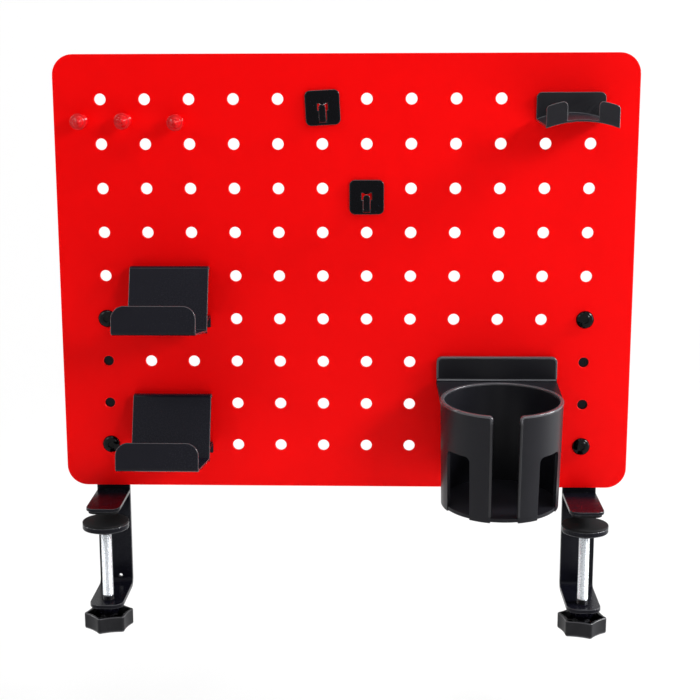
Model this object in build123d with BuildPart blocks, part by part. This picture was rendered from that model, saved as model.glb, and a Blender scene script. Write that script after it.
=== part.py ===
from build123d import *
import os

# A steel pegboard that clamps to the back edge of a desk, with black accessories hung in its holes:
# a cup holder, two sheet-steel trays, a headphone hanger, two small square hooks and three magnetic
# push pins.
#
# Millimetres. X runs along the board, +Y points away from the user, +Z is up. x = 0 is midway
# between the two clamps, y = 0 is the plane where the clamp legs meet the back of the panel, and
# z = 0 is the desk top, on which the rubber pads of the clamp jaws rest.

# Panel
panel_width = 420
panel_height = 320
panel_thickness = 2
panel_corner = 15
panel_lift = 9  # bottom edge of the panel above the desk top
hole_pitch = 32
hole_columns = 12
hole_rows = 9
peg_hole_diameter = 8.3
screw_hole_diameter = 7.5

# Clamps
leg_width = 25
leg_thickness = 3
leg_bend_radius = 4  # inside of the bend
leg_above_screw = 15  # leg above its top screw
leg_corner = 4
leg_screw_rows = (6, 9)
clamp_rows = 4  # rows of smaller holes at each clamp, counted from the bottom
clamp_depth = 69.5  # desk top to the top of the leg's foot
foot_corner = 9
drain_hole_diameter = 2.5
drain_hole_above_foot = 5.5
drain_hole_offset = 3.3
jaw_thickness = 2.5
jaw_reach = 49
foot_reach = jaw_reach
jaw_corner = 7
jaw_tab_width = 12
jaw_pad_thickness = 2
jaw_pad_margin = 1.5
slot_clearance = 0.1

# Clamp screws
rod_diameter = 8
rod_from_leg = 35
thread_clearance = 0.05  # radial
boss_top_diameter = 24
boss_bottom_diameter = 14
boss_height = 7.5
disc_diameter = 34
disc_thickness = 4
disc_chamfer = 1
disc_cap_thickness = 1.5
disc_gap = 8.3  # rubber cap to jaw pad, as the screw stands
disc_hub_diameter = 15
disc_hub_height = 4
disc_socket_depth = 6
rod_end_gap = 0.1
rod_chamfer = 0.8
knob_diameter = 37.6  # across the tips before they are rounded
knob_height = 12
knob_tips = 6
knob_flute = 1.3  # how far each side curves in
knob_tip_radius = 2.2
knob_wall = 2.6
knob_floor = 3.5
knob_hub_diameter = 14
knob_hub_below_boss = 3
knob_rim_above_hub = 4
knob_rib = 1.6
knob_chamfer = 0.9
knob_turn = {"left": -14, "right": 14}  # degrees by which a tip points past straight ahead

# Panel screws, button heads with a hexagon socket
screw_diameter = 6
screw_head_diameter = 13
screw_head_height = 3.4
screw_crown_diameter = 6.5  # flat middle of the head
screw_socket_flats = 4
screw_socket_depth = 2
screw_past_leg = 1.5

# Hooks behind the panel
face_gap = 0.2  # back of a hung piece to the panel's front
hook_width = 5
hook_rest = 0.25  # hook above the bottom of its hole
hook_rise = 9  # hook tip above the middle of its hole
hook_gap = 1.6  # hook to the panel's back
hook_bend = 3  # outside of the bend

# Sheet-steel trays
sheet_thickness = 1.5
tray_width = 58
tray_rows = {"upper": 5, "lower": 8}
tray_columns = (2, 3)
tray_top_above_hole = 7.8
tray_top_depth = 7.5
tray_bend = 3
tray_back_height = 43.8
tray_back_foot_depth = 25.5  # back plate to the panel at the floor
tray_floor_depth = 64
tray_floor_rise = 10
tray_lip_height = 18.6
tray_lip_corner = 9
tray_strip_below_hole = 4
tray_strip_width = 46
tray_foot_height = 9
tray_foot_below_hole = 1.5

# Headphone hanger
hanger_row = 1
hanger_columns = (11, 12)
hanger_thickness = 1.5
hanger_width = 49.2
hanger_top_above_hole = 4.5
hanger_height = 20.6
hanger_corner = 4
hanger_depth = 65
hanger_arch_radius = 68
hanger_wing_height = 14.7
hanger_wing_gap = 20.7
hanger_wing_corner = 3
hanger_lean = 1.8  # degrees that it sags in its holes
hanger_shift = 1.3  # to the right of the middle of its holes

# Cup holder
cup_row = 7
cup_columns = (9, 11)
cup_plate_width = 88.4
cup_plate_thickness = 3.5
cup_plate_above_hole = 4.2
cup_plate_height = 17.5
cup_plate_corner = 4
cup_shelf_thickness = 3.5
cup_diameter = 86.4
cup_foot_diameter = 83.6
cup_height = 76.8
cup_wall = 2.5
cup_from_plate = 48.8  # axis of the cup to the front of its plate
cup_floor_inset = 0.8
cup_floor_setback = 0.4
cup_floor_thickness = 2.5
cup_slot_width = 19
cup_slot_corner = 2.5
cup_window_angle = 50  # middle of each side window, in degrees from the front
cup_window_width = 22.5
cup_window_below_rim = 31
cup_window_corner = 4
cup_hook_thickness = 2.5
cup_hook_rest = 0.5
cup_gate_diameter = 4
cup_gate_depth = 0.5
cup_lean = 3.1  # degrees that it sags in its holes

# Square hooks
hook_places = {"left": (6, 1, -3), "right": (7, 3, 0)}  # column, row, degrees turned
square_size = 25
square_corner = 4
square_top_above_hole = 6.3
square_window_width = 5.4
square_window_bottom = 15  # below the hole's middle
square_window_head_width = 7.4
square_window_head_height = 5
tongue_width = 5
tongue_reach = 11
tongue_height = 13
tongue_bend = 4
tongue_tip_radius = 2.4

# Magnetic push pins
pin_places = {"left": (-189.6, 112.7), "middle": (-158.2, 113), "right": (-120.4, 111.8)}  # x, height
pin_base_diameter = 10.6
pin_base_height = 3
pin_waist_diameter = 7
pin_waist_height = 8
pin_head_diameter = 11
pin_height = 17
pin_dome_height = 3.5
pin_socket_clearance = 0.05
magnet_diameter = 8
magnet_thickness = 2
contact_gap = 0.05

# Sizes that follow
panel_middle = panel_lift + panel_height / 2
panel_front = -panel_thickness
hung_back = panel_front - face_gap
peg_radius = peg_hole_diameter / 2
rod_bore = rod_diameter / 2 + thread_clearance
foot_top = -clamp_depth
foot_bottom = foot_top - leg_thickness
boss_bottom = foot_bottom - boss_height
knob_hub_top = boss_bottom - knob_hub_below_boss
knob_top = knob_hub_top + knob_rim_above_hub
knob_bottom = knob_top - knob_height
rod_bottom = knob_bottom + knob_floor
disc_cap_bottom = -disc_gap - disc_cap_thickness
disc_bottom = disc_cap_bottom - disc_thickness
disc_hub_bottom = disc_bottom - disc_hub_height
clamp_columns = {"left": 1, "right": hole_columns}
on_base = (Align.CENTER, Align.CENTER, Align.MIN)
under_top = (Align.CENTER, Align.CENTER, Align.MAX)


def column_x(column):
    """Middle of a column of holes, counted from 1 at the left."""
    return (column - (hole_columns + 1) / 2) * hole_pitch


def row_z(row):
    """Middle of a row of holes, counted from 1 at the top."""
    return panel_middle + ((hole_rows + 1) / 2 - row) * hole_pitch


def write(piece, name, location=Location()):
    """Put a finished piece in its place and write it as its own node."""
    with BuildPart() as placed:
        with Locations(location):
            add(piece.part)
    placed.part.label = name
    export_step(placed.part, f"parts/{name}.step")


def sagging(x, z, low, lean):
    """Place at (x, z) of a piece that turns forward by lean about its lowest back edge, at height low."""
    return Location((x, hung_back, z + low), (lean, 0, 0)) * Location((0, -hung_back, -low))


def bent_sheet(points, thickness, bends):
    """Section of a bent sheet, seen along X: points (y, z) run along the face that it lies left of."""
    near = [Vector(point) for point in points]
    runs = [(after - before).normalized() for before, after in zip(near, near[1:])]
    lefts = [run.rotate(Axis.Z, 90) for run in runs]
    far = [near[0] + lefts[0] * thickness]
    far_bends = []
    for corner, bend, run, left, next_left in zip(near[1:], bends, runs, lefts, lefts[1:]):
        far.append(corner + (left + next_left) * (thickness / (1 + left.dot(next_left))))
        turns_left = run.dot(next_left) < 0
        far_bends.append(bend - thickness if turns_left else bend + thickness)
    far.append(near[-1] + lefts[-1] * thickness)
    with BuildSketch(Plane.YZ) as section:
        with BuildLine():
            FilletPolyline(*near, radius=bends)
            FilletPolyline(*far, radius=far_bends)
            Line(near[0], far[0])
            Line(near[-1], far[-1])
        make_face()
    return section.sketch


def hook_low(hole_z, rest):
    """Underside of a hook that lies on the bottom of its round hole."""
    return hole_z - (peg_radius**2 - (hook_width / 2) ** 2) ** 0.5 + rest


def back_hook(start_y, hole_z, thickness, rest):
    """Section of a hook from a hung piece at start_y, through its hole and up behind the panel."""
    low = hook_low(hole_z, rest)
    back = hook_gap + thickness
    return bent_sheet([(start_y, low), (back, low), (back, hole_z + hook_rise)], thickness, [hook_bend])


def star(radius, tip_radius):
    """Star with rounded tips and sides that curve in, one tip at -Y."""
    side_radius = radius * Vector(1, 0).rotate(Axis.Z, 180 / knob_tips).X - knob_flute
    with BuildSketch() as outline:
        with BuildLine():
            for tip in range(knob_tips):
                start = Vector(0, -radius).rotate(Axis.Z, tip * 360 / knob_tips)
                middle = Vector(0, -side_radius).rotate(Axis.Z, (tip + 0.5) * 360 / knob_tips)
                end = Vector(0, -radius).rotate(Axis.Z, (tip + 1) * 360 / knob_tips)
                ThreePointArc(start, middle, end)
        make_face()
        fillet(outline.vertices(), radius=tip_radius)
    return outline.sketch


os.makedirs("parts", exist_ok=True)

# Panel: one flat punched sheet with rounded corners
clamp_holes = [
    (column_x(column), row_z(row))
    for column in clamp_columns.values()
    for row in range(hole_rows - clamp_rows + 1, hole_rows + 1)
]
peg_holes = [
    (column_x(column), row_z(row))
    for column in range(1, hole_columns + 1)
    for row in range(1, hole_rows + 1)
    if (column_x(column), row_z(row)) not in clamp_holes
]
with BuildPart() as panel:
    with BuildSketch(Plane.XZ):
        with Locations((0, panel_middle)):
            RectangleRounded(panel_width, panel_height, panel_corner)
        with Locations(*peg_holes):
            Circle(peg_radius, mode=Mode.SUBTRACT)
        with Locations(*clamp_holes):
            Circle(screw_hole_diameter / 2, mode=Mode.SUBTRACT)
    extrude(amount=panel_thickness)
write(panel, "panel")

# Clamp leg: a strip behind the panel that bends forward under the desk
leg_top = row_z(leg_screw_rows[0]) + leg_above_screw
leg_points = [(0, leg_top), (0, foot_top), (-foot_reach, foot_top)]
with BuildPart() as leg:
    extrude(bent_sheet(leg_points, leg_thickness, [leg_bend_radius]), amount=leg_width / 2, both=True)
    fillet(leg.edges().filter_by(Axis.Y).group_by(Axis.Z)[-1], radius=leg_corner)
    fillet(leg.edges().filter_by(Axis.Z).group_by(Axis.Y)[0], radius=foot_corner)
    with BuildSketch(Plane.XZ):
        with Locations(*[(0, row_z(row)) for row in leg_screw_rows]):
            Circle(screw_diameter / 2 + thread_clearance)
        with Locations((0, jaw_pad_thickness + jaw_thickness / 2)):
            Rectangle(jaw_tab_width + 2 * slot_clearance, jaw_thickness + 2 * slot_clearance)
        with Locations((drain_hole_offset, foot_top + drain_hole_above_foot)):
            Circle(drain_hole_diameter / 2)
    extrude(amount=-leg_thickness, mode=Mode.SUBTRACT)
    with Locations((0, -rod_from_leg, foot_top)):
        Cylinder(rod_bore, leg_thickness, align=under_top, mode=Mode.SUBTRACT)

# Jaw: a plate on the desk top, its tab welded in the slot of the leg
with BuildPart() as jaw:
    with BuildSketch(Plane.XY.offset(jaw_pad_thickness)) as jaw_outline:
        with Locations((0, -jaw_reach / 2)):
            Rectangle(leg_width, jaw_reach)
        fillet(jaw_outline.vertices().group_by(Axis.Y)[0], radius=jaw_corner)
        with Locations((0, leg_thickness / 2)):
            Rectangle(jaw_tab_width, leg_thickness)
    extrude(amount=jaw_thickness)

# Rubber pad under the jaw
with BuildPart() as jaw_pad:
    with BuildSketch() as pad_outline:
        with Locations((0, -jaw_reach / 2)):
            Rectangle(leg_width - 2 * jaw_pad_margin, jaw_reach - 2 * jaw_pad_margin)
        fillet(pad_outline.vertices().group_by(Axis.Y)[0], radius=jaw_corner - jaw_pad_margin)
    extrude(amount=jaw_pad_thickness)

# Threaded boss welded under the foot, a cone that narrows towards the knob
with BuildPart() as boss:
    with Locations((0, -rod_from_leg, foot_bottom)):
        Cone(boss_bottom_diameter / 2, boss_top_diameter / 2, boss_height, align=under_top)
        Cylinder(rod_bore, boss_height, align=under_top, mode=Mode.SUBTRACT)

# Pressure disc: a turned steel plate with a hub that takes the end of the rod
with BuildPart() as disc:
    with Locations((0, -rod_from_leg, disc_bottom)):
        Cylinder(disc_diameter / 2, disc_thickness, align=on_base)
        Cylinder(disc_hub_diameter / 2, disc_hub_height, align=under_top)
    chamfer(disc.edges().filter_by(GeomType.CIRCLE).group_by(Axis.Z)[0], length=disc_chamfer)
    with Locations((0, -rod_from_leg, disc_hub_bottom)):
        Cylinder(rod_bore, disc_socket_depth, align=on_base, mode=Mode.SUBTRACT)

# Rubber cap on the pressure disc
with BuildPart() as disc_cap:
    with Locations((0, -rod_from_leg, disc_cap_bottom)):
        Cylinder(disc_diameter / 2, disc_cap_thickness, align=on_base)
    fillet(disc_cap.edges().group_by(Axis.Z)[-1], radius=disc_cap_thickness / 2)

# Clamp rod, threaded over its whole length, from the socket of the disc down into the knob
rod_top = disc_hub_bottom + disc_socket_depth - rod_end_gap
with BuildPart() as rod:
    with Locations((0, -rod_from_leg, rod_bottom)):
        Cylinder(rod_diameter / 2, rod_top - rod_bottom, align=on_base)
    chamfer(rod.edges().group_by(Axis.Z)[-1], length=rod_chamfer)

# Star knob, moulded: open at the top, with a hub in the middle and a rib to each tip
inner_star_radius = knob_diameter / 2 - knob_wall
with BuildPart() as knob:
    extrude(star(knob_diameter / 2, knob_tip_radius), amount=knob_height)
    chamfer(knob.edges().group_by(Axis.Z)[0], length=knob_chamfer)
    with BuildSketch(Plane.XY.offset(knob_floor)):
        add(star(inner_star_radius, knob_tip_radius / 2))
        Circle(knob_hub_diameter / 2, mode=Mode.SUBTRACT)
        with PolarLocations(0, knob_tips // 2, start_angle=90, angular_range=180):
            Rectangle(knob_diameter, knob_rib, mode=Mode.SUBTRACT)
    extrude(amount=knob_height - knob_floor, mode=Mode.SUBTRACT)
    with BuildSketch(Plane.XY.offset(knob_height - knob_rim_above_hub)):
        add(star(inner_star_radius, knob_tip_radius / 2))
    extrude(amount=knob_rim_above_hub, mode=Mode.SUBTRACT)
    with Locations((0, 0, knob_floor)):
        Cylinder(rod_bore, knob_height, align=on_base, mode=Mode.SUBTRACT)

# Panel screws: button heads with a hexagon socket, through the panel and threaded into the leg
with BuildPart() as screw:
    with BuildSketch(Plane.YZ):
        with BuildLine():
            rim = (panel_front, screw_head_diameter / 2)
            crown = (panel_front - screw_head_height, screw_crown_diameter / 2)
            middle = (panel_front - screw_head_height, 0)
            tip = (leg_thickness + screw_past_leg, 0)
            shank_end = (leg_thickness + screw_past_leg, screw_diameter / 2)
            shank_start = (panel_front, screw_diameter / 2)
            TangentArc(rim, crown, tangent=(-1, 0))
            Polyline(crown, middle, tip, shank_end, shank_start, rim)
        make_face()
    revolve(axis=Axis.Y)
    with BuildSketch(Plane.XZ.offset(screw_head_height + panel_thickness)):
        RegularPolygon(screw_socket_flats / 2, 6, major_radius=False)
    extrude(amount=-screw_socket_depth, mode=Mode.SUBTRACT)
with BuildPart() as panel_screws:
    with Locations(*[(0, 0, row_z(row)) for row in leg_screw_rows]):
        add(screw.part)

for side, column in clamp_columns.items():
    at_clamp = Location((column_x(column), 0, 0))
    write(leg, f"{side}_leg", at_clamp)
    write(jaw, f"{side}_jaw", at_clamp)
    write(jaw_pad, f"{side}_jaw_pad", at_clamp)
    write(boss, f"{side}_boss", at_clamp)
    write(disc, f"{side}_pressure_disc", at_clamp)
    write(disc_cap, f"{side}_disc_cap", at_clamp)
    write(rod, f"{side}_clamp_rod", at_clamp)
    write(panel_screws, f"{side}_panel_screws", at_clamp)
    at_knob = Location((column_x(column), -rod_from_leg, knob_bottom), (0, 0, knob_turn[side]))
    write(knob, f"{side}_knob", at_knob)

# Tray: one sheet folded into a strip against the panel, a short top, a back that leans out, a floor
# that rises to the front and a lip. Lengths here are from the middle of its upper holes.
tray_lean = (tray_back_foot_depth - tray_top_depth) / tray_back_height
floor_z = tray_top_above_hole - tray_back_height
floor_slope = Vector(tray_floor_depth, tray_floor_rise).normalized()
floor_back = Vector(panel_front - tray_back_foot_depth, floor_z)
floor_front = floor_back + Vector(-floor_slope.X, floor_slope.Y) * tray_floor_depth
lip_top = floor_front + Vector(floor_slope.Y, floor_slope.X) * tray_lip_height
outer_bend, inner_bend = tray_bend, tray_bend - sheet_thickness
hole_spread = (tray_columns[-1] - tray_columns[0]) * hole_pitch
with BuildPart() as tray:
    tray_points = [
        (hung_back, -tray_strip_below_hole),
        (hung_back, tray_top_above_hole),
        (panel_front - tray_top_depth, tray_top_above_hole),
        (floor_back.X, floor_back.Y),
        (floor_front.X, floor_front.Y),
        (lip_top.X, lip_top.Y),
    ]
    tray_section = bent_sheet(
        tray_points, sheet_thickness, [outer_bend, outer_bend, inner_bend, inner_bend]
    )
    extrude(tray_section, amount=tray_width / 2, both=True)
    sheet_end_edges = tray.edges().sort_by(SortBy.LENGTH)[:4]
    fillet(sheet_end_edges.sort_by(Axis.Y)[:2], radius=tray_lip_corner)
    with BuildSketch(Plane.XZ.offset(-hung_back)):
        for x in (-tray_width / 2, tray_width / 2):
            with Locations((x, tray_top_above_hole - tray_bend)):
                Rectangle(
                    tray_width - tray_strip_width,
                    tray_back_height,
                    align=(Align.CENTER, Align.MAX),
                )
    extrude(amount=sheet_thickness, mode=Mode.SUBTRACT)
    for x in (-hole_spread / 2, hole_spread / 2):
        hook = back_hook(hung_back - sheet_thickness, 0, sheet_thickness, hook_rest)
        extrude(hook.moved(Location((x, 0, 0))), amount=hook_width / 2, both=True)

# Tray foot: a small channel welded behind the back, which stands on the panel at the next holes down
foot_high = -hole_pitch - tray_foot_below_hole + tray_foot_height / 2
foot_low = foot_high - tray_foot_height
sheet_run = sheet_thickness * (1 + tray_lean**2) ** 0.5


def tray_back_y(z):
    """Rear face of the leaning back at height z."""
    return panel_front - tray_top_depth - (tray_top_above_hole - z) * tray_lean + sheet_run


with BuildPart() as tray_foot:
    foot_points = [
        (hung_back, foot_low),
        (hung_back, foot_high),
        (tray_back_y(foot_high), foot_high),
        (tray_back_y(foot_low), foot_low),
    ]
    foot_section = bent_sheet(foot_points, sheet_thickness, [outer_bend, outer_bend])
    extrude(foot_section, amount=tray_width / 2, both=True)

for level, row in tray_rows.items():
    at_tray = Location((sum(column_x(column) for column in tray_columns) / 2, 0, row_z(row)))
    write(tray, f"{level}_tray", at_tray)
    write(tray_foot, f"{level}_tray_foot", at_tray)

# Headphone hanger: a plate, an arched saddle and two wings at its front end, of one thickness.
# Lengths here are from the middle of its holes.
hanger_top = hanger_top_above_hole
hanger_low = hanger_top - hanger_height
arch_rise = hanger_arch_radius - (hanger_arch_radius**2 - (hanger_width / 2) ** 2) ** 0.5


def arch_band(height, inside_gap=0, corner_radius=0):
    """Band of this height above the saddle's arch, seen along Y, split by a gap in the middle."""
    half = hanger_width / 2
    with BuildSketch(Plane.XZ.offset(-hung_back)) as band:
        with BuildLine():
            ThreePointArc((-half, hanger_low), (0, hanger_low + arch_rise), (half, hanger_low))
            Line((half, hanger_low), (half, hanger_low + height))
            ThreePointArc(
                (half, hanger_low + height),
                (0, hanger_low + height + arch_rise),
                (-half, hanger_low + height),
            )
            Line((-half, hanger_low + height), (-half, hanger_low))
        make_face()
        if inside_gap:
            with Locations((0, hanger_low)):
                Rectangle(inside_gap, 4 * height, mode=Mode.SUBTRACT)
            top_corners = [corner for corner in band.vertices() if corner.Y > hanger_low + height / 2]
            fillet(top_corners, radius=corner_radius)
    return band.sketch


with BuildPart() as hanger:
    with BuildSketch(Plane.XZ.offset(-hung_back)) as hanger_plate:
        with BuildLine():
            half = hanger_width / 2
            ThreePointArc((-half, hanger_low), (0, hanger_low + arch_rise), (half, hanger_low))
            Polyline((half, hanger_low), (half, hanger_top), (-half, hanger_top), (-half, hanger_low))
        make_face()
        fillet(hanger_plate.vertices().group_by(Axis.Y)[-1], radius=hanger_corner)
    extrude(amount=hanger_thickness)
    extrude(arch_band(hanger_thickness), amount=hanger_depth)
    wings = arch_band(hanger_wing_height, hanger_wing_gap, hanger_wing_corner)
    extrude(wings.moved(Location((0, -hanger_depth + hanger_thickness, 0))), amount=hanger_thickness)
    for x in (-hole_pitch / 2, hole_pitch / 2):
        hook = back_hook(hung_back, 0, hanger_thickness, hook_rest)
        at_hook = Location((x - hanger_shift, 0, 0))
        extrude(hook.moved(at_hook), amount=hook_width / 2, both=True)
hanger_x = sum(column_x(column) for column in hanger_columns) / 2 + hanger_shift
at_hanger = sagging(hanger_x, row_z(hanger_row), hanger_low, hanger_lean)
write(hanger, "headphone_hanger", at_hanger)

# Cup holder, moulded in one piece: a plate on the panel, a shelf level with the rim, and a cup with a
# slot in front and a window at each side. Lengths here are from the middle of its holes.
cup_rim = cup_plate_above_hole - cup_plate_height
cup_y = hung_back - cup_plate_thickness - cup_from_plate
cup_bottom = cup_rim - cup_height
floor_bottom = cup_bottom + cup_floor_inset
floor_top = floor_bottom + cup_floor_thickness
rim_radius = cup_diameter / 2
foot_radius = cup_foot_diameter / 2
cup_spread = (cup_columns[-1] - cup_columns[0]) * hole_pitch
with BuildPart() as cup:
    with BuildSketch(Plane.XZ.offset(-hung_back)) as cup_plate:
        with Locations((0, cup_plate_above_hole)):
            Rectangle(cup_plate_width, cup_plate_height, align=(Align.CENTER, Align.MAX))
        fillet(cup_plate.vertices().group_by(Axis.Y)[-1], radius=cup_plate_corner)
    extrude(amount=cup_plate_thickness)
    with BuildSketch(Plane.XY.offset(cup_rim)):
        with Locations((0, cup_y)):
            Circle(rim_radius)
        with Locations((0, hung_back)):
            Rectangle(cup_plate_width, cup_plate_thickness, align=(Align.CENTER, Align.MAX))
        make_hull()
    extrude(amount=-cup_shelf_thickness)
    with Locations((0, cup_y, cup_bottom)):
        Cone(foot_radius, rim_radius, cup_height, align=on_base)
        Cone(
            foot_radius - cup_wall,
            rim_radius - cup_wall,
            cup_height,
            align=on_base,
            mode=Mode.SUBTRACT,
        )
    with BuildSketch(Plane.XZ.offset(-cup_y)):
        with Locations((0, cup_rim)):
            Rectangle(cup_slot_width, 2 * cup_height, align=(Align.CENTER, Align.MAX))
    extrude(amount=cup_diameter, mode=Mode.SUBTRACT)
    slot_edges = cup.edges().filter_by(Axis.Y).filter_by_position(Axis.X, -cup_slot_width, cup_slot_width)
    fillet(slot_edges.sort_by(Axis.Z)[-2:], radius=cup_slot_corner)
    for angle in (-cup_window_angle, cup_window_angle):
        outward = Vector(0, -1).rotate(Axis.Z, angle)
        window_plane = Plane(origin=(0, cup_y, cup_rim), x_dir=outward.rotate(Axis.Z, 90), z_dir=outward)
        with BuildSketch(window_plane) as window:
            with Locations((0, -cup_window_below_rim)):
                Rectangle(cup_window_width, cup_height, align=(Align.CENTER, Align.MAX))
            fillet(window.vertices().group_by(Axis.Y)[-1], radius=cup_window_corner)
        extrude(amount=cup_diameter, mode=Mode.SUBTRACT)
    with Locations((0, cup_y, floor_bottom)):
        Cylinder(foot_radius - cup_floor_setback, cup_floor_thickness, align=on_base)
        Cylinder(cup_gate_diameter / 2, cup_gate_depth, align=on_base, mode=Mode.SUBTRACT)
    for x in (-cup_spread / 2, cup_spread / 2):
        hook = back_hook(hung_back, 0, cup_hook_thickness, cup_hook_rest)
        extrude(hook.moved(Location((x, 0, 0))), amount=hook_width / 2, both=True)
cup_x = sum(column_x(column) for column in cup_columns) / 2
at_cup = sagging(cup_x, row_z(cup_row), cup_rim - cup_shelf_thickness, cup_lean)
write(cup, "cup_holder", at_cup)

# Square hook: a small plate with a hook bent back from it and a tongue bent forward. Lengths here are
# from the middle of its hole.
window_top = hook_low(0, hook_rest)
tongue_low = -square_window_bottom - sheet_thickness
tongue_front = hung_back - sheet_thickness - tongue_reach
with BuildPart() as square_hook:
    with BuildSketch(Plane.XZ.offset(-hung_back)):
        with Locations((0, square_top_above_hole - square_size / 2)):
            RectangleRounded(square_size, square_size, square_corner)
        with Locations((0, window_top)):
            Rectangle(
                square_window_width,
                window_top + square_window_bottom,
                align=(Align.CENTER, Align.MAX),
                mode=Mode.SUBTRACT,
            )
            Rectangle(
                square_window_head_width,
                square_window_head_height,
                align=(Align.CENTER, Align.MAX),
                mode=Mode.SUBTRACT,
            )
    extrude(amount=sheet_thickness)
    hook = back_hook(hung_back - sheet_thickness, 0, sheet_thickness, hook_rest)
    extrude(hook, amount=hook_width / 2, both=True)
    tongue_points = [
        (tongue_front, tongue_low + tongue_height),
        (tongue_front, tongue_low),
        (hung_back, tongue_low),
    ]
    extrude(bent_sheet(tongue_points, sheet_thickness, [tongue_bend]), amount=tongue_width / 2, both=True)
    tongue_tip = square_hook.edges().filter_by(Axis.Y).group_by(Axis.Y)[0]
    fillet(tongue_tip, radius=tongue_tip_radius)
for side, (column, row, turn) in hook_places.items():
    write(square_hook, f"{side}_square_hook", Location((column_x(column), 0, row_z(row)), (0, turn, 0)))

# Push pin: a turned-looking moulded knob with a magnet let into its base
pin_back = panel_front - contact_gap
head_radius = pin_head_diameter / 2
dome_radius = (head_radius**2 + pin_dome_height**2) / (2 * pin_dome_height)
dome_angle = Vector(0, -dome_radius).get_angle(Vector(head_radius, pin_dome_height - dome_radius))
with BuildPart() as pin:
    with BuildSketch(Plane.XY):
        with BuildLine():
            base_edge = (pin_base_diameter / 2, pin_back - pin_base_height)
            waist = (pin_waist_diameter / 2, pin_back - pin_waist_height)
            head_edge = (head_radius, pin_back - pin_height + pin_dome_height)
            Polyline((0, pin_back - pin_height), (0, pin_back), (base_edge[0], pin_back), base_edge)
            ThreePointArc(base_edge, waist, head_edge)
            CenterArc((0, pin_back - pin_height + dome_radius), dome_radius, -90, dome_angle)
        make_face()
    revolve(axis=Axis.Y)
    with BuildSketch(Plane.XZ.offset(-pin_back)):
        Circle(magnet_diameter / 2 + pin_socket_clearance)
    extrude(amount=magnet_thickness, mode=Mode.SUBTRACT)
with BuildPart() as magnet:
    with BuildSketch(Plane.XZ.offset(-pin_back)):
        Circle(magnet_diameter / 2)
    extrude(amount=magnet_thickness)
for place, (x, above_middle) in pin_places.items():
    at_pin = Location((x, 0, panel_middle + above_middle))
    write(pin, f"{place}_pin", at_pin)
    write(magnet, f"{place}_pin_magnet", at_pin)
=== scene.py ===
from math import pi, radians

import bmesh
import bpy
import numpy as np
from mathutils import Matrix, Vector


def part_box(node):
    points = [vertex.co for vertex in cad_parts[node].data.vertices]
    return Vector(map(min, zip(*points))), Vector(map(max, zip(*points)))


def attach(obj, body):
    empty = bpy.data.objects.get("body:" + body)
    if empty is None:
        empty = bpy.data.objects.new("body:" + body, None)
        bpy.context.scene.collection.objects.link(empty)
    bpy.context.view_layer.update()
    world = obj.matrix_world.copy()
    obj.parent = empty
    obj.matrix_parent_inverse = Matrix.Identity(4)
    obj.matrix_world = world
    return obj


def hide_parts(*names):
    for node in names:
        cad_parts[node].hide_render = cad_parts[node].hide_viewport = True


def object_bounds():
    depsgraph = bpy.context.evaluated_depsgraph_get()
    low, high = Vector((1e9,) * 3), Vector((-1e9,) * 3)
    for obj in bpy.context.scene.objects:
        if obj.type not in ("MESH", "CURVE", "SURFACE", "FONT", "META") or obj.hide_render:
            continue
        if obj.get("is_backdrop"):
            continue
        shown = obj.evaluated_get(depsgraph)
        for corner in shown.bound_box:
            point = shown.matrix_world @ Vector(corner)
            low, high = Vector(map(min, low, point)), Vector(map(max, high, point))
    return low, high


# A red steel pegboard that clamps to the back edge of a desk, with black accessories hung in its
# holes. Metres: X along the panel, +Y away from the user, z = 0 at the desk top.
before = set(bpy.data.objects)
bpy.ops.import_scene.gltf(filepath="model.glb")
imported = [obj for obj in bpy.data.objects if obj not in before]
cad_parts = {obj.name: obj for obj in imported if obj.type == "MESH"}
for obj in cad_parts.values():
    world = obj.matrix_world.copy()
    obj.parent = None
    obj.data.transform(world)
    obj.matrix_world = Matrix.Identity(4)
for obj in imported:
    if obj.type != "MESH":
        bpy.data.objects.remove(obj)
cad_low, cad_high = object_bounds()

# ---------------------------------------------------------------------------------------------
# Panel. One sheet of 2 mm steel, laser cut with its grid of round holes, deburred so that every
# edge is slightly rounded, and powder coated in a fine satin red.


class Wire:
    """An output of a shader node. Arithmetic on it adds Math nodes."""

    def __init__(self, socket):
        self.socket = socket

    def math(self, operation, left, right):
        node = self.socket.id_data.nodes.new("ShaderNodeMath")
        node.operation = operation
        feed(node.inputs[0], left)
        feed(node.inputs[1], right)
        return Wire(node.outputs[0])

    def __add__(self, other):
        return self.math("ADD", self, other)

    def __sub__(self, other):
        return self.math("SUBTRACT", self, other)

    def __rsub__(self, other):
        return self.math("SUBTRACT", other, self)

    def __mul__(self, other):
        return self.math("MULTIPLY", self, other)

    __radd__ = __add__
    __rmul__ = __mul__


def feed(socket, value):
    """Links a wire to a socket, or sets the socket to a plain value."""
    if isinstance(value, Wire):
        socket.id_data.links.new(value.socket, socket)
    else:
        socket.default_value = value


def named(sockets, name):
    """The socket with this identifier, or else with this name or index."""
    for socket in sockets:
        if socket.identifier == name:
            return socket
    return sockets[name]


class Nodes:
    """A node tree. Every node that isn't arithmetic comes from its one method."""

    def __init__(self, tree):
        self.tree = tree

    def node(self, kind, settings=None, output=0, **values):
        """Adds a node: its settings first, then the values or wires of its sockets."""
        node = self.tree.nodes.new(kind)
        for name, setting in (settings or {}).items():
            setattr(node, name, setting)
        for name, value in values.items():
            feed(named(node.inputs, name), value)
        return Wire(named(node.outputs, output))


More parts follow.
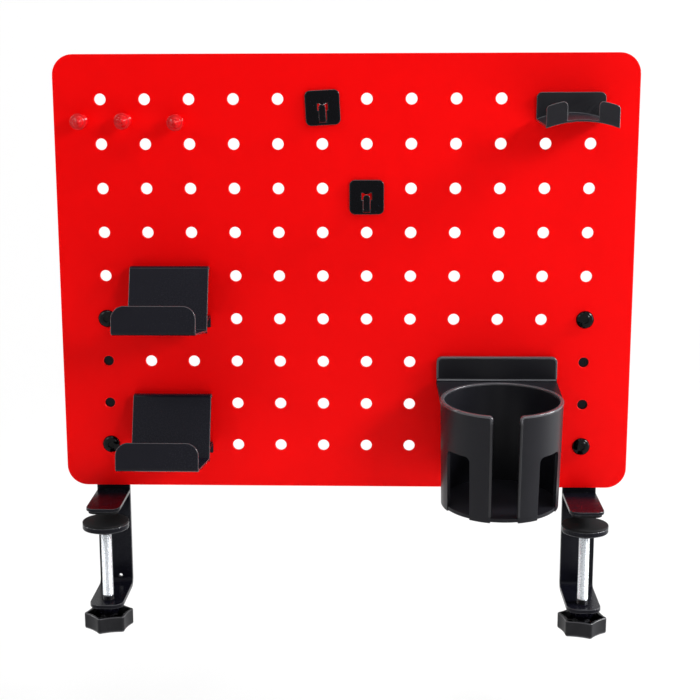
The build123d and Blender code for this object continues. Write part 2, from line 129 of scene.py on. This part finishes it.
class Finish(Nodes):
    """A material around one Principled BSDF, whose constants are given by socket name."""

    def __init__(self, name, **constants):
        self.material = bpy.data.materials.new(name)
        self.material.use_nodes = True
        super().__init__(self.material.node_tree)
        self.shader = self.tree.nodes["Principled BSDF"]
        for socket, value in constants.items():
            title = socket.replace("_", " ").title().replace("Ior", "IOR")
            self.shader.inputs[title].default_value = value
        self.place = self.node("ShaderNodeTexCoord", output="Object")

    def noise(self, size, detail=2.0, stretch=(1, 1, 1)):
        """Noise from 0 to 1 with lumps of about this size in metres, drawn out by stretch."""
        place = self.node("ShaderNodeMapping", Vector=self.place, Scale=[1 / part for part in stretch])
        return self.node(
            "ShaderNodeTexNoise", output="Fac", Vector=place, Scale=1 / size, Detail=detail
        )

    def between(self, amount, low, high):
        """A colour that runs from low to high with the wire amount."""
        low, high = (end if isinstance(end, Wire) else (*end, 1) for end in (low, high))
        ends = {"Factor_Float": amount, "A_Color": low, "B_Color": high}
        return self.node("ShaderNodeMix", {"data_type": "RGBA"}, "Result_Color", **ends)

    def above(self, height, fade):
        """0 under a height in metres and 1 over it, with a fade that starts there."""
        z = self.node("ShaderNodeSeparateXYZ", output="Z", Vector=self.place)
        return self.node("ShaderNodeMapRange", Value=z, **{"From Min": height, "From Max": height + fade})

    def bumped(self, height, distance):
        """Raises the surface by the wire height times distance, in metres."""
        bump = self.node("ShaderNodeBump", Height=height, Distance=distance, Strength=1.0)
        feed(self.shader.inputs["Normal"], bump)

    def wear(self, colour, roughness):
        """Gives the material its colour and roughness, as wires."""
        feed(self.shader.inputs["Base Color"], colour)
        feed(self.shader.inputs["Roughness"], roughness)
        return self.material


POWDER_CLOUD = 0.06
POWDER_PEBBLE = 0.0009


def powder_coat(name, colour, deep, gloss, shine, height=0.00002):
    """Baked powder: a pebbled skin, clouds of slightly deeper colour, and roughness that wanders."""
    coat = Finish(name, specular_ior_level=shine)
    cloud = coat.noise(POWDER_CLOUD, detail=3)
    skin = coat.noise(POWDER_PEBBLE, detail=1.5)
    coat.bumped(skin, height)
    return coat.wear(
        coat.between(cloud * 0.7 + skin * 0.3, deep, colour),
        gloss + (cloud - 0.5) * 0.12 + (skin - 0.5) * 0.1,
    )


CREASE_ANGLE = radians(30)
MERGE_REACH = 1e-6


def softened(node, width, material, body, edge=None, clamped=False):
    """A merged copy of a CAD node whose sharp edges are rounded by width, in the finish edge if it has
    one. A clamped rounding shrinks where it would run over a neighbour."""
    shape = bmesh.new()
    shape.from_mesh(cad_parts[node].data)
    bmesh.ops.remove_doubles(shape, verts=shape.verts, dist=MERGE_REACH)
    bmesh.ops.dissolve_limit(
        shape,
        angle_limit=radians(0.2),
        use_dissolve_boundaries=False,
        verts=shape.verts,
        edges=shape.edges,
    )
    mesh = bpy.data.meshes.new(node + "_finished")
    shape.to_mesh(mesh)
    shape.free()
    mesh.shade_smooth()
    mesh.set_sharp_from_angle(angle=CREASE_ANGLE)
    piece = bpy.data.objects.new(node + "_finished", mesh)
    bpy.context.collection.objects.link(piece)
    mesh.materials.clear()
    mesh.materials.append(material)
    bevel = piece.modifiers.new("edges", "BEVEL")
    if edge is not None:
        mesh.materials.append(edge)
        bevel.material = 1
    bevel.width = width
    bevel.segments = 2
    bevel.limit_method = "ANGLE"
    bevel.angle_limit = CREASE_ANGLE
    bevel.harden_normals = True
    bevel.use_clamp_overlap = clamped
    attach(piece, body)
    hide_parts(node)
    return piece


red_coat = powder_coat("red_powder", (0.87, 0.0014, 0.0018), (0.82, 0.001, 0.0015), 0.45, 0.05)
# The rounded edges get a lighter, warmer red: a painted highlight.
red_edge_painted_highlight = powder_coat("red_powder_edge_painted_highlight", (0.92, 0.012, 0.01), (0.85, 0.006, 0.006), 0.3, 0.2)
PANEL_ROUND = 0.0003
softened("panel", PANEL_ROUND, red_coat, "frame", edge=red_edge_painted_highlight)

# ---------------------------------------------------------------------------------------------
# Clamp legs, jaws and bosses. Flat steel bent and welded, powder coated in satin black.

black_coat = powder_coat(
    "black_powder", (0.0045, 0.0045, 0.008), (0.0026, 0.0026, 0.005), 0.26, 0.11, height=0.00001
)
# The powder draws away from sharp edges while it melts, so it is thin and smooth there; the lighter colour
# on the edges is a painted highlight.
black_edge_painted_highlight = powder_coat(
    "black_powder_edge_painted_highlight", (0.05, 0.051, 0.057), (0.026, 0.026, 0.03), 0.14, 0.3, height=0.000005
)
CLAMP_ROUND = 0.0004
DISC_ROUND = 0.0006
for side in ("left", "right"):
    for part in ("leg", "jaw", "boss"):
        softened(f"{side}_{part}", CLAMP_ROUND, black_coat, "frame", edge=black_edge_painted_highlight)
    softened(f"{side}_pressure_disc", DISC_ROUND, black_coat, f"{side}_disc", edge=black_edge_painted_highlight)

# ---------------------------------------------------------------------------------------------
# Rubber pads under the jaws and caps on the pressure discs, moulded and glued on.

rubber = Finish("rubber", specular_ior_level=0.15)
grain = rubber.noise(0.0006, detail=3)
rubber.bumped(grain, 0.00003)
rubber_black = rubber.wear(
    rubber.between(grain, (0.003, 0.003, 0.0036), (0.007, 0.0068, 0.0078)), 0.62 + grain * 0.2
)
RUBBER_ROUND = 0.0003
for side in ("left", "right"):
    softened(f"{side}_jaw_pad", RUBBER_ROUND, rubber_black, "frame")
    softened(f"{side}_disc_cap", RUBBER_ROUND, rubber_black, f"{side}_disc")

# ---------------------------------------------------------------------------------------------
# Clamp rods. Steel M8 rod with a rolled thread over its whole length, bright zinc plated.

THREAD_PITCH = 0.00125
THREAD_DEPTH = 0.00055
ROD_CHAMFER = 0.0008


def skin_of_rings(rings):
    """Mesh of a tube from an array of rings (rows, points, 3), its ends closed by flat faces."""
    rows, around = rings.shape[:2]
    index = np.arange(rows * around).reshape(rows, around)
    here = index[:-1]
    faces = np.stack(
        [here, np.roll(here, -1, axis=1), np.roll(index[1:], -1, axis=1), index[1:]], axis=-1
    ).reshape(-1, 4)
    return rings.reshape(-1, 3), [*faces.tolist(), index[0, ::-1].tolist(), index[-1].tolist()]


def new_piece(name, points, polygons, material, body, smooth=60):
    """An object of these faces, smooth where they meet at less than smooth degrees."""
    mesh = bpy.data.meshes.new(name)
    mesh.from_pydata(points.tolist(), [], polygons)
    mesh.shade_smooth()
    mesh.set_sharp_from_angle(angle=radians(smooth))
    mesh.materials.append(material)
    piece = bpy.data.objects.new(name, mesh)
    bpy.context.collection.objects.link(piece)
    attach(piece, body)
    return piece


def threaded_rod(low, high):
    """Rings up the rod. Each point's radius falls and rises once per pitch along a helix, cut off flat
    at the crest, and both ends are chamfered at 45 degrees."""
    around, per_turn = 28, 8
    rows = int((high[2] - low[2]) / THREAD_PITCH * per_turn) + 1
    z = np.linspace(low[2], high[2], rows)[:, None]
    angle = np.linspace(0, 2 * pi, around, endpoint=False)[None, :]
    turn = np.mod(z / THREAD_PITCH - angle / (2 * pi), 1)
    groove = np.clip(1.25 - np.abs(2 * turn - 1) * 1.5, 0, 1)
    radius = (high[0] - low[0]) / 2 - THREAD_DEPTH * groove
    from_end = np.minimum(z - low[2], high[2] - z)
    radius = np.minimum(radius, (high[0] - low[0]) / 2 - np.clip(ROD_CHAMFER - from_end, 0, 1))
    middle = (np.array(low) + np.array(high)) / 2
    return np.stack(
        [middle[0] + radius * np.cos(angle), middle[1] + radius * np.sin(angle), z + 0 * angle], axis=-1
    )


zinc = Finish("bright_zinc", metallic=1.0)
streak = zinc.noise(0.0012, detail=3, stretch=(1, 1, 1.5))
zinc.bumped(streak, 0.00001)
# A painted dark reflection of the black foot covers the rod from its knob to just above the foot of the
# leg.
FOOT_THICKNESS = 0.003
FOOT_REFLECTION_ABOVE_FOOT = 0.0031
FOOT_REFLECTION_FADE = 0.0008
clear_of_painted_reflection = zinc.above(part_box("left_leg")[0].z + FOOT_THICKNESS + FOOT_REFLECTION_ABOVE_FOOT, FOOT_REFLECTION_FADE)
plated = zinc.between(streak, (0.6, 0.63, 0.67), (0.84, 0.86, 0.88))
bright_zinc = zinc.wear(zinc.between(clear_of_painted_reflection, (0.012, 0.012, 0.014), plated), 0.2 + streak * 0.16)
for side in ("left", "right"):
    points, polygons = skin_of_rings(threaded_rod(*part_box(f"{side}_clamp_rod")))
    rod = new_piece(f"{side}_threaded_rod", points, polygons, bright_zinc, f"{side}_screw")
    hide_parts(f"{side}_clamp_rod")

# ---------------------------------------------------------------------------------------------
# Star knobs, moulded in black plastic and pressed on the rods.

plastic = Finish("knob_plastic", specular_ior_level=0.18)
grain = plastic.noise(0.0008, detail=2)
cloud = plastic.noise(0.02)
plastic.bumped(grain, 0.00003)
knob_black = plastic.wear(
    plastic.between(cloud, (0.005, 0.005, 0.0065), (0.0085, 0.0085, 0.0105)), 0.4 + grain * 0.15
)
# The knob's rounded edges get a lighter colour: a painted highlight.
rim = Finish("knob_rim_painted_highlight", specular_ior_level=0.45)
grain = rim.noise(0.0008, detail=2)
knob_rim_painted_highlight = rim.wear(rim.between(grain, (0.03, 0.03, 0.034), (0.045, 0.045, 0.05)), 0.2 + grain * 0.1)
KNOB_ROUND = 0.0006
for side in ("left", "right"):
    softened(f"{side}_knob", KNOB_ROUND, knob_black, f"{side}_screw", edge=knob_rim_painted_highlight)

# ---------------------------------------------------------------------------------------------
# Panel screws, black button heads with a hexagon socket.

blackened = Finish("black_oxide", specular_ior_level=0.13)
grain = blackened.noise(0.0015, detail=3)
black_oxide = blackened.wear(
    blackened.between(grain, (0.0008, 0.0008, 0.0012), (0.0015, 0.0015, 0.002)), 0.06 + grain * 0.03
)


TIP_RADIUS = 1e-5


def turned(x, z, radius, y, hexagon=None, around=48):
    """Rings about an axis along Y, from back to front, one for each radius and y. Where its hexagon
    value is 1 a ring is a regular hexagon with corners at that radius, and where it is 0 a circle."""
    angle = np.linspace(0, 2 * pi, around, endpoint=False)[None, :]
    radius = np.array(radius)[:, None]
    y = np.array(y)[:, None]
    flats = np.cos(pi / 6) / np.cos(np.mod(angle + pi / 6, pi / 3) - pi / 6)
    share = np.zeros_like(radius) if hexagon is None else np.array(hexagon)[:, None]
    reach = np.maximum(radius, TIP_RADIUS) * (1 - share + share * flats)
    return np.stack([x + reach * np.cos(angle), y + 0 * angle, z + reach * np.sin(angle)], axis=-1)


HEAD_RADIUS = 0.0065
HEAD_HEIGHT = 0.0034
SHANK_RADIUS = 0.003
SOCKET_CORNER = 0.0025
SOCKET_DEPTH = 0.002
SOCKET_CONE = 0.0006  # the drill's point under the socket
SHANK_CHAMFER = 0.0004


def button_screw(x, z, tip, seat):
    """Shank, flat underside, a crown that is an ellipse over the head's radius, and a hexagon socket."""
    crown = np.linspace(0.08, 1.17, 14)
    dome_radius = HEAD_RADIUS * np.cos(crown)
    dome_y = seat - HEAD_HEIGHT * np.sin(crown)
    face = dome_y[-1]
    radius = [0, SHANK_RADIUS - SHANK_CHAMFER, SHANK_RADIUS, SHANK_RADIUS]
    y = [tip, tip, tip - SHANK_CHAMFER, seat]
    radius += [HEAD_RADIUS - 0.0001, *dome_radius]
    y += [seat, *dome_y]
    radius += [SOCKET_CORNER * 1.03, SOCKET_CORNER, SOCKET_CORNER * 0.97, SOCKET_CORNER * 0.97, 0]
    y += [face, face + 0.00005, face + 0.0002, face + SOCKET_DEPTH, face + SOCKET_DEPTH + SOCKET_CONE]
    return turned(x, z, radius, y, [0] * (len(radius) - 5) + [0.3, 1, 1, 1, 1])


for side in ("left", "right"):
    low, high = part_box(f"{side}_panel_screws")
    middle = (low[0] + high[0]) / 2
    seat = low[1] + HEAD_HEIGHT
    lower, upper = (
        skin_of_rings(button_screw(middle, z, high[1], seat))
        for z in (low[2] + HEAD_RADIUS, high[2] - HEAD_RADIUS)
    )
    points = np.vstack([lower[0], upper[0]])
    polygons = lower[1] + [[corner + len(lower[0]) for corner in face] for face in upper[1]]
    screws = new_piece(
        f"{side}_button_screws", points, polygons, black_oxide, "frame", smooth=40
    )
    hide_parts(f"{side}_panel_screws")

# ---------------------------------------------------------------------------------------------
# Trays. One sheet of 1.5 mm steel each, folded, with a channel welded behind as a foot.

tray_coat = powder_coat("tray_powder", (0.007, 0.007, 0.0115), (0.0045, 0.0045, 0.008), 0.26, 0.12)
SHEET_ROUND = 0.0005
FOOT_ROUND = 0.0003
for level in ("upper", "lower"):
    softened(f"{level}_tray", SHEET_ROUND, tray_coat, f"{level}_tray", edge=black_edge_painted_highlight)
    softened(f"{level}_tray_foot", FOOT_ROUND, tray_coat, f"{level}_tray")

# ---------------------------------------------------------------------------------------------
# Headphone hanger: plate, arched saddle and two wings of coated sheet steel.

hanger_coat = powder_coat("hanger_powder", (0.015, 0.0145, 0.018), (0.01, 0.0098, 0.0125), 0.3, 0.15)
softened("headphone_hanger", SHEET_ROUND, hanger_coat, "hanger", edge=black_edge_painted_highlight)

# ---------------------------------------------------------------------------------------------
# Cup holder, injection moulded in satin black plastic.

cup_plastic = Finish("cup_plastic", specular_ior_level=0.16)
grain = cup_plastic.noise(0.0007, detail=2)
cloud = cup_plastic.noise(0.03)
cup_plastic.bumped(grain, 0.000015)
cup_black = cup_plastic.wear(
    cup_plastic.between(cloud, (0.0055, 0.0055, 0.0075), (0.009, 0.009, 0.0118)), 0.3 + grain * 0.1
)
# The edges of the mouth and plate are smoother and carry a lighter colour, a painted highlight; the slot's
# long edges stay dull, without it.
RIM_LOW = 0.081
RIM_FADE = 0.003
rim = Finish("cup_rim_painted_highlight", specular_ior_level=0.42)
grain = rim.noise(0.0007, detail=2)
smooth_and_painted_highlight = rim.above(RIM_LOW, RIM_FADE)
light = rim.between(grain, (0.045, 0.045, 0.05), (0.075, 0.075, 0.084))
dull_to_painted_highlight = rim.between(smooth_and_painted_highlight, (0.006, 0.006, 0.008), light)
cup_rim_painted_highlight = rim.wear(dull_to_painted_highlight, 0.3 - smooth_and_painted_highlight * 0.16 + grain * 0.06)


CREASE_SUNK = 0.0003  # how far the bead's back lies inside the walls


def crease_bead(corner, radius, lean, low_x, high_x):
    """A bar along X whose section is a corner filled up to a quarter circle that touches both walls."""
    up = np.array([-np.sin(lean), np.cos(lean)])
    out = np.array([-np.cos(lean), -np.sin(lean)])
    bend = np.linspace(0, pi / 2, 9)[:, None]
    arc = radius * ((1 - np.cos(bend)) * up + (1 - np.sin(bend)) * out)
    section = np.vstack([-CREASE_SUNK * (up + out), arc]) + np.array(corner)
    x = np.linspace(low_x, high_x, 3)[:, None]
    return np.stack(np.broadcast_arrays(x, section[None, :, 0], section[None, :, 1]), axis=-1)


def bead(path, out, thick, tall, around=20):
    """A bar along a path of points. Its section is a superellipse of the fourth power that reaches thick
    to both sides along out and tall across it, like a wall's end with rounded corners."""
    along = np.gradient(path, axis=0)
    along /= np.linalg.norm(along, axis=1, keepdims=True)
    across = np.cross(along, out)
    across /= np.linalg.norm(across, axis=1, keepdims=True)
    outward = np.cross(across, along)
    angle = np.linspace(0, 2 * pi, around, endpoint=False)[None, :, None]
    cosine, sine = (np.sign(wave) * np.abs(wave) ** 0.5 for wave in (np.cos(angle), np.sin(angle)))
    return path[:, None] + thick * cosine * outward[:, None] + tall * sine * across[:, None]


CUP_RADIUS = 0.04195  # middle of the wall at the rim
CUP_TAPER = 0.0182  # how much narrower the wall gets per metre down
WALL_HALF = 0.00125
EDGE_SKIN = 0.0002  # how far the rounded edge stands out of the wall
EDGE_TALL = 0.0009
EDGE_DROP = 0.0007  # how far the middle of the rounded edge lies inside the wall's end
SLOT_EDGE = 0.0095 + EDGE_DROP
CORNER_RADIUS = 0.0018
SLOT_DEPTH = 0.073


def mouth_line(centre, lean):
    """Up one edge of the slot, round its corner, round the whole rim and down the other edge, as the
    length s along the wall from the middle of the slot and the drop below the rim."""
    quarter = np.linspace(0, pi / 2, 7)[1:-1]
    round_trip = 2 * pi * CUP_RADIUS
    rim_points = 220
    start = SLOT_EDGE + CORNER_RADIUS
    rise = np.linspace(SLOT_DEPTH, EDGE_DROP + CORNER_RADIUS, 26)
    side_s = np.full(rise.shape, SLOT_EDGE)
    corner_s = start - CORNER_RADIUS * np.cos(quarter)
    corner_drop = EDGE_DROP + CORNER_RADIUS * (1 - np.sin(quarter))
    rim_s = np.linspace(start, round_trip - start, rim_points)
    s = np.concatenate([side_s, corner_s, rim_s, round_trip - corner_s[::-1], round_trip - side_s])
    rim_drop = np.full(rim_points, EDGE_DROP)
    drop = np.concatenate([rise, corner_drop, rim_drop, corner_drop[::-1], rise[::-1]])
    up = np.array([0, -np.sin(lean), np.cos(lean)])
    front = np.array([0, -np.cos(lean), -np.sin(lean)])
    angle = (s / CUP_RADIUS)[:, None]
    out = np.sin(angle) * np.array([1, 0, 0]) + np.cos(angle) * front
    return centre + (CUP_RADIUS - CUP_TAPER * drop)[:, None] * out - drop[:, None] * up, out


CREASE = (-0.00592, 0.09207)  # y and z
CREASE_RADIUS = 0.0011
CREASE_INSET = 0.0004
CUP_AXIS = 0.0488  # in front of the crease
CUP_LEAN = radians(3.1)
cup_low, cup_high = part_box("cup_holder")
# The fillet in the crease between plate and shelf wears the rim finish, whose lighter colour is a painted
# highlight.
points, polygons = skin_of_rings(
    crease_bead(CREASE, CREASE_RADIUS, CUP_LEAN, cup_low[0] + CREASE_INSET, cup_high[0] - CREASE_INSET)
)
new_piece("cup_crease", points, polygons, cup_rim_painted_highlight, "cup")
centre = np.array([
    (cup_low[0] + cup_high[0]) / 2,
    CREASE[0] - CUP_AXIS * np.cos(CUP_LEAN),
    CREASE[1] - CUP_AXIS * np.sin(CUP_LEAN),
])
points, polygons = skin_of_rings(bead(*mouth_line(centre, CUP_LEAN), WALL_HALF + EDGE_SKIN, EDGE_TALL))
new_piece("cup_mouth_edge", points, polygons, cup_rim_painted_highlight, "cup")


PLATE_HALF = 0.00175
PLATE_HEIGHT = 0.0175
PLATE_CORNER = 0.004
PLATE_START = 0.0015


def plate_line(lean, low_x, high_x):
    """Points up one side of the plate, round its corner, along the top and down the other side."""
    turn = PLATE_CORNER - EDGE_DROP
    bend = np.linspace(0, pi / 2, 9)
    rise = np.linspace(PLATE_START, PLATE_HEIGHT - PLATE_CORNER, 8)[:-1]
    left = low_x + EDGE_DROP
    x = np.concatenate([np.full(len(rise), left), left + turn * (1 - np.cos(bend))])
    height = np.concatenate([rise, PLATE_HEIGHT - PLATE_CORNER + turn * np.sin(bend)])
    top = np.linspace(x[-1], low_x + high_x - x[-1], 30)[1:-1]
    x = np.concatenate([x, top, low_x + high_x - x[::-1]])
    height = np.concatenate([height, np.full(len(top), height[-1]), height[::-1]])
    up = np.array([0, -np.sin(lean), np.cos(lean)])
    front = np.array([0, -np.cos(lean), -np.sin(lean)])
    foot = np.array([0, *CREASE]) - PLATE_HALF * front
    path = foot + x[:, None] * np.array([1, 0, 0]) + height[:, None] * up
    return path, np.broadcast_to(front, (len(x), 3))


path, front = plate_line(CUP_LEAN, cup_low[0], cup_high[0])
points, polygons = skin_of_rings(bead(path, front, PLATE_HALF + EDGE_SKIN, EDGE_TALL))
new_piece("cup_plate_edge", points, polygons, cup_rim_painted_highlight, "cup")
CUP_ROUND = 0.0007
softened("cup_holder", CUP_ROUND, cup_black, "cup", clamped=True)

# ---------------------------------------------------------------------------------------------
# Square hooks, small glossy black plates with a tongue bent out of them, each turning on a hub that
# fills its hole in the panel.

gloss = Finish("gloss_black", specular_ior_level=0.07)
ripple = gloss.noise(0.002, detail=1)
gloss.bumped(ripple, 0.00001)
gloss_black = gloss.wear(
    gloss.between(ripple, (0.001, 0.001, 0.002), (0.002, 0.002, 0.0035)), 0.12 + ripple * 0.06
)
# The hooks' rounded edges get a lighter colour: a painted highlight.
gloss = Finish("gloss_edge_painted_highlight", specular_ior_level=0.5)
ripple = gloss.noise(0.002, detail=1)
gloss_edge_painted_highlight = gloss.wear(
    gloss.between(ripple, (0.008, 0.008, 0.01), (0.014, 0.014, 0.018)), 0.08 + ripple * 0.05
)

HUB_RADIUS = 0.004
HUB_BEVEL = 0.0003
HUB_DEPTH = 0.002
HOOK_ROUND = 0.0004
HOOK_HOLES = {"left": (-0.016, -0.002, 0.297), "right": (0.016, -0.002, 0.233)}
for side, hole in HOOK_HOLES.items():
    front = hole[1] - HUB_BEVEL
    back = front + HUB_DEPTH
    radius = [0, HUB_RADIUS - HUB_BEVEL, HUB_RADIUS, HUB_RADIUS, 0]
    y = [back, back, back - HUB_BEVEL, front, front]
    points, polygons = skin_of_rings(turned(hole[0], hole[2], radius, y))
    new_piece(f"{side}_hook_hub", points, polygons, gloss_black, f"{side}_hook")
for side in ("left", "right"):
    softened(f"{side}_square_hook", HOOK_ROUND, gloss_black, f"{side}_hook", edge=gloss_edge_painted_highlight)

# ---------------------------------------------------------------------------------------------
# Push pins, polished red plastic, each with a nickel plated magnet in its base.

polished = Finish("polished_red", specular_ior_level=0.2)
flow = polished.noise(0.004)
red_plastic = polished.wear(
    polished.between(flow, (0.5, 0.001, 0.0025), (0.58, 0.0012, 0.003)), 0.05 + flow * 0.03
)
nickel = Finish("nickel", metallic=1.0)
brushed = nickel.noise(0.0008, detail=2, stretch=(8, 1, 1))
nickel_plate = nickel.wear(
    nickel.between(brushed, (0.5, 0.5, 0.48), (0.68, 0.67, 0.64)), 0.25 + brushed * 0.2
)

PIN_RADIUS = 0.006
# Radius over the pin's radius, and distance from the panel over its height: the base, the waist,
# the rim of the head, two terraces and the button in the middle.
PIN_PROFILE = [
    (0.80, 0.0), (0.86, 0.015), (0.88, 0.05), (0.87, 0.13), (0.82, 0.175), (0.70, 0.22), (0.60, 0.3),
    (0.56, 0.4), (0.6, 0.5), (0.72, 0.58), (0.88, 0.63), (0.97, 0.68), (1.0, 0.73), (0.99, 0.77),
    (0.965, 0.785), (0.88, 0.802), (0.72, 0.815), (0.68, 0.83), (0.65, 0.86), (0.60, 0.885),
    (0.52, 0.905), (0.42, 0.925), (0.32, 0.935), (0.28, 0.95), (0.24, 0.97), (0.18, 0.985),
    (0.1, 0.9975), (0.05, 0.9995),
]
for place in ("left", "middle", "right"):
    low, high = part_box(f"{place}_pin")
    corners = np.array([(0, 0), *PIN_PROFILE, (0, 1)])
    steps = np.linspace(0, len(corners) - 1, (len(corners) - 1) * 4 + 1)
    radius, depth = (np.interp(steps, np.arange(len(corners)), corners[:, k]) for k in (0, 1))
    middle = (low + high) / 2
    y = high[1] - (high[1] - low[1]) * depth
    points, polygons = skin_of_rings(turned(middle[0], middle[2], radius * PIN_RADIUS, y, around=56))
    pin = new_piece(
        f"{place}_push_pin", points, polygons, red_plastic, f"{place}_pin", smooth=75
    )
    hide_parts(f"{place}_pin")
    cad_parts[f"{place}_pin_magnet"].material_slots[0].material = nickel_plate

# ---------------------------------------------------------------------------------------------
# Studio: a white sweep of paper and soft lamps, most of them to the right and above, two of them close
# to the panel's plane so that they light edges more than faces, and even light around.

KNOB_TRAVEL = 0.06  # the knobs go down this far when the clamps open
FLOOR = cad_low[2] - KNOB_TRAVEL
WALL = 1.6
CORNER = 0.6
REACH = 4.0


def paper_sweep():
    """The floor runs back, turns up through a quarter circle and goes on as the wall."""
    bend = np.linspace(0, pi / 2, 24)
    y = np.concatenate([[-REACH], WALL - CORNER + CORNER * np.sin(bend), [WALL]])
    z = np.concatenate([[FLOOR], FLOOR + CORNER - CORNER * np.cos(bend), [REACH]])
    x = np.array([-REACH, REACH])
    return np.stack(np.broadcast_arrays(x[None, :], y[:, None], z[:, None]), axis=-1)


rows = paper_sweep()
index = np.arange(rows.shape[0] * 2).reshape(-1, 2)
strips = np.stack([index[:-1, 0], index[:-1, 1], index[1:, 1], index[1:, 0]], axis=-1)
mesh = bpy.data.meshes.new("paper")
mesh.from_pydata(rows.reshape(-1, 3).tolist(), [], strips.tolist())
mesh.shade_smooth()
paper = bpy.data.objects.new("paper", mesh)
bpy.context.collection.objects.link(paper)
paper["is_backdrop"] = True

PAPER_GLOW = 0.92


def seen_rays(nodes):
    """1 for the rays that show a background: camera, glossy and transmission rays."""
    camera_ray, glossy_ray, transmission_ray = (
        nodes.node("ShaderNodeLightPath", output=f"Is {kind} Ray")
        for kind in ("Camera", "Glossy", "Transmission")
    )
    return camera_ray + glossy_ray + transmission_ray


white = Finish("white_paper", base_color=(0.92, 0.92, 0.92, 1), roughness=1.0, specular_ior_level=0.0)
glow = white.node("ShaderNodeEmission", Color=(1, 1, 1, 1), Strength=1.0)
plain = Wire(white.shader.outputs[0])
shown = white.node("ShaderNodeMixShader", Fac=seen_rays(white) * PAPER_GLOW, Shader=plain, Shader_001=glow)
feed(white.tree.nodes["Material Output"].inputs["Surface"], shown)
mesh.materials.append(white.material)

WORLD_LIGHT = 0.18
world = bpy.data.worlds.new("studio")
bpy.context.scene.world = world
world.use_nodes = True
air = world.node_tree.nodes["Background"]
air.inputs["Color"].default_value = (1, 1, 1, 1)
feed(air.inputs["Strength"], seen_rays(Nodes(world.node_tree)) * (1 - WORLD_LIGHT) + WORLD_LIGHT)


def soft_lamp(name, place, aim, width, height, power):
    """A rectangular lamp at a place, turned to aim. Sizes in metres, power in watts."""
    lamp = bpy.data.lights.new(name, "AREA")
    lamp.shape = "RECTANGLE"
    lamp.size, lamp.size_y = width, height
    lamp.energy = power
    holder = bpy.data.objects.new(name, lamp)
    holder.location = place
    holder.rotation_euler = (Vector(aim) - Vector(place)).to_track_quat("-Z", "Y").to_euler()
    bpy.context.collection.objects.link(holder)


soft_lamp("key", (1.4, -1.6, 0.75), (0, 0, 0.12), 0.6, 0.6, 2)
soft_lamp("sparkle", (1.3, -1.5, 0.85), (0, 0, 0.15), 0.35, 0.35, 9)
soft_lamp("rim", (1.35, -0.16, 1.0), (0, 0, 0.15), 0.45, 0.45, 34)
soft_lamp("right_strip", (1.5, 0.12, 0.35), (0, 0.02, 0.1), 0.35, 1.2, 22)
soft_lamp("left_strip", (-1.5, 0.12, 0.35), (0, 0.02, 0.1), 0.2, 1.0, 5)
soft_lamp("left_fill", (-1.1, -0.5, 0.95), (-0.1, 0, 0.15), 0.5, 0.5, 4.5)
soft_lamp("overhead", (0.1, -0.15, 1.6), (0, -0.02, 0.15), 1.4, 0.4, 8)

camera = bpy.data.cameras.new("camera")
camera.sensor_width = 36
camera.lens = 74.52
camera.shift_x = 0.0293
viewer = bpy.data.objects.new("camera", camera)
viewer.location = (0.02528, -1.05224, 0.32772)
viewer.rotation_euler = (radians(78.492), radians(0.197), radians(1.957))
bpy.context.collection.objects.link(viewer)
bpy.context.scene.camera = viewer
bpy.context.scene.view_settings.view_transform = "Standard"

low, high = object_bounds()
